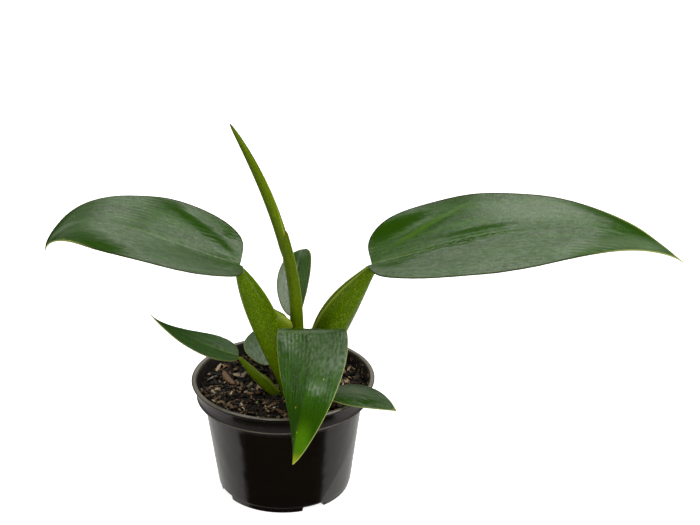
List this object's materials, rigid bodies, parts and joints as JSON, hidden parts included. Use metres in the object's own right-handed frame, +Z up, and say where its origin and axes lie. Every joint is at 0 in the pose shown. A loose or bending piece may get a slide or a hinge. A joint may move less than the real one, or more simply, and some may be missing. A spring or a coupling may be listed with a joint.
{
  "type": "potted plant",
  "caption": "Young flask-stalked philodendron in a round black nursery pot: long dark blades on swollen green stalks, small lower leaves and an upright rolled new leaf.",
  "frame": {"origin": "middle of the pot's underside, on the plane it stands on", "axes": "+Z up along the pot's axis; +X towards the longest leaf, to the picture's right; -Y towards the leaf that hangs over the front rim"},
  "size_m": [0.4197, 0.2087, 0.252],
  "materials": {
    "pot_plastic": "black injection-moulded plastic with a soft gloss",
    "potting_mix": "damp dark peat with bark chips, matt",
    "stem_skin": "dull brown-green skin",
    "leaf_stalk": "bright yellow-green satin skin with fine dots",
    "leaf_blade": "dark green leathery leaf with a satin sheen",
    "new_leaf": "smooth yellow-green satin skin"
  },
  "bodies": {
    "root": {"pot": "pot_plastic", "soil": "potting_mix", "stem": "stem_skin", "left_large_stalk": "leaf_stalk", "right_large_stalk": "leaf_stalk", "front_stalk": "leaf_stalk", "back_stalk": "leaf_stalk", "left_small_stalk": "leaf_stalk", "right_small_stalk": "leaf_stalk", "back_small_stalk": "leaf_stalk", "left_large_blade": "leaf_blade", "right_large_blade": "leaf_blade", "front_blade": "leaf_blade", "back_blade": "leaf_blade", "left_small_blade": "leaf_blade", "right_small_blade": "leaf_blade", "back_small_blade": "leaf_blade", "new_leaf_sheath": "new_leaf", "new_leaf_rolled_blade": "new_leaf"}
  },
  "joints": []
}
